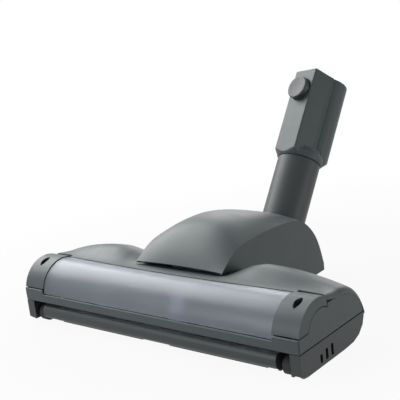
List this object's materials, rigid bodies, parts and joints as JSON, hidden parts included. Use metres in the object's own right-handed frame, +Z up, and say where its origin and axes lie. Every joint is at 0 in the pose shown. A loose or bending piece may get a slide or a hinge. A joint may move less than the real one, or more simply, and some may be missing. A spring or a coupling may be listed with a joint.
{
  "type": "vacuum turbo brush",
  "caption": "Floor head with an air-driven brush roller behind a clear front window, a rounded turbine hump, a tilting neck and an oval wand socket with a release button.",
  "frame": {"origin": "centre of the bounding box in X and Y, on the floor that the wheels stand on", "axes": "X along the width of the head, +Y from the front ridge towards the neck, +Z up"},
  "size_m": [0.2796, 0.2985, 0.1764],
  "materials": {
    "housing_plastic": "fine satin grain, dark slate grey with a slight green tint",
    "dark_plastic": "satin dark grey moulded plastic",
    "clear_window": "clear blue grey tinted plastic, polished",
    "light_plastic": "light grey moulded plastic",
    "steel": "turned steel",
    "rubber": "matt black rubber",
    "bristle": "black nylon bristle"
  },
  "bodies": {
    "housing": {"upper_housing": "housing_plastic", "hump_cover": "housing_plastic", "lower_housing": "dark_plastic", "sole_plate": "dark_plastic", "turbine_housing": "light_plastic", "turbine_bearings": "steel", "air_duct": "light_plastic", "belt_cover": "light_plastic", "drive_belt": "rubber", "brush_bushes": "light_plastic", "front_axles": "steel", "rear_axles": "steel", "screws": "steel", "lint_strips": "bristle"},
    "window_cover": {"window": "clear_window", "end_cap_left": "housing_plastic", "end_cap_right": "housing_plastic"},
    "brush": {"brush_core": "dark_plastic", "bristle_tufts": "bristle", "brush_pulley": "light_plastic"},
    "turbine": {"turbine_rotor": "light_plastic", "turbine_shaft": "steel", "pinion": "steel"},
    "wheel_front_left": {"front_wheel_left": "rubber"},
    "wheel_front_right": {"front_wheel_right": "rubber"},
    "wheel_rear_left": {"rear_wheel_left": "rubber"},
    "wheel_rear_right": {"rear_wheel_right": "rubber"},
    "neck": {"elbow": "dark_plastic", "neck_seal": "rubber"},
    "wand_connector": {"connector": "housing_plastic", "retaining_ring": "steel", "socket_seal": "rubber", "button_spring": "steel"},
    "button": {"release_button": "dark_plastic"}
  },
  "joints": [
    {"name": "window_lift", "type": "slide", "parent": "housing", "child": "window_cover", "axis": [0, 0, 1], "range_m": [0, 0.04]},
    {"name": "brush_spin", "type": "hinge", "parent": "housing", "child": "brush", "pos_m": [0, -0.1204, 0.0215], "axis": [1, 0, 0], "continuous": true},
    {"name": "turbine_spin", "type": "hinge", "parent": "housing", "child": "turbine", "pos_m": [0, -0.0494, 0.038], "axis": [1, 0, 0], "continuous": true},
    {"name": "front_left_roll", "type": "hinge", "parent": "housing", "child": "wheel_front_left", "pos_m": [-0.126, -0.1394, 0.007], "axis": [1, 0, 0], "continuous": true},
    {"name": "front_right_roll", "type": "hinge", "parent": "housing", "child": "wheel_front_right", "pos_m": [0.126, -0.1394, 0.007], "axis": [1, 0, 0], "continuous": true},
    {"name": "rear_left_roll", "type": "hinge", "parent": "housing", "child": "wheel_rear_left", "pos_m": [-0.0305, 0.0216, 0.012], "axis": [1, 0, 0], "continuous": true},
    {"name": "rear_right_roll", "type": "hinge", "parent": "housing", "child": "wheel_rear_right", "pos_m": [0.0305, 0.0216, 0.012], "axis": [1, 0, 0], "continuous": true},
    {"name": "neck_tilt", "type": "hinge", "parent": "housing", "child": "neck", "pos_m": [0, 0.0266, 0.024], "axis": [1, 0, 0], "range_deg": [-38, 8]},
    {"name": "wand_swivel", "type": "hinge", "parent": "neck", "child": "wand_connector", "pos_m": [0, 0.0266, 0.024], "axis": [0, 0.5948, 0.8039], "continuous": true},
    {"name": "release_press", "type": "slide", "parent": "wand_connector", "child": "button", "axis": [0.225, 0.7833, -0.5796], "range_m": [0, 0.003], "stiffness_N_per_m": 400, "springref_m": -0.002, "deforming": ["button_spring"]}
  ],
  "couplings": [
    {"joint": "turbine_spin", "follows": "brush_spin", "ratio": 2.5}
  ]
}
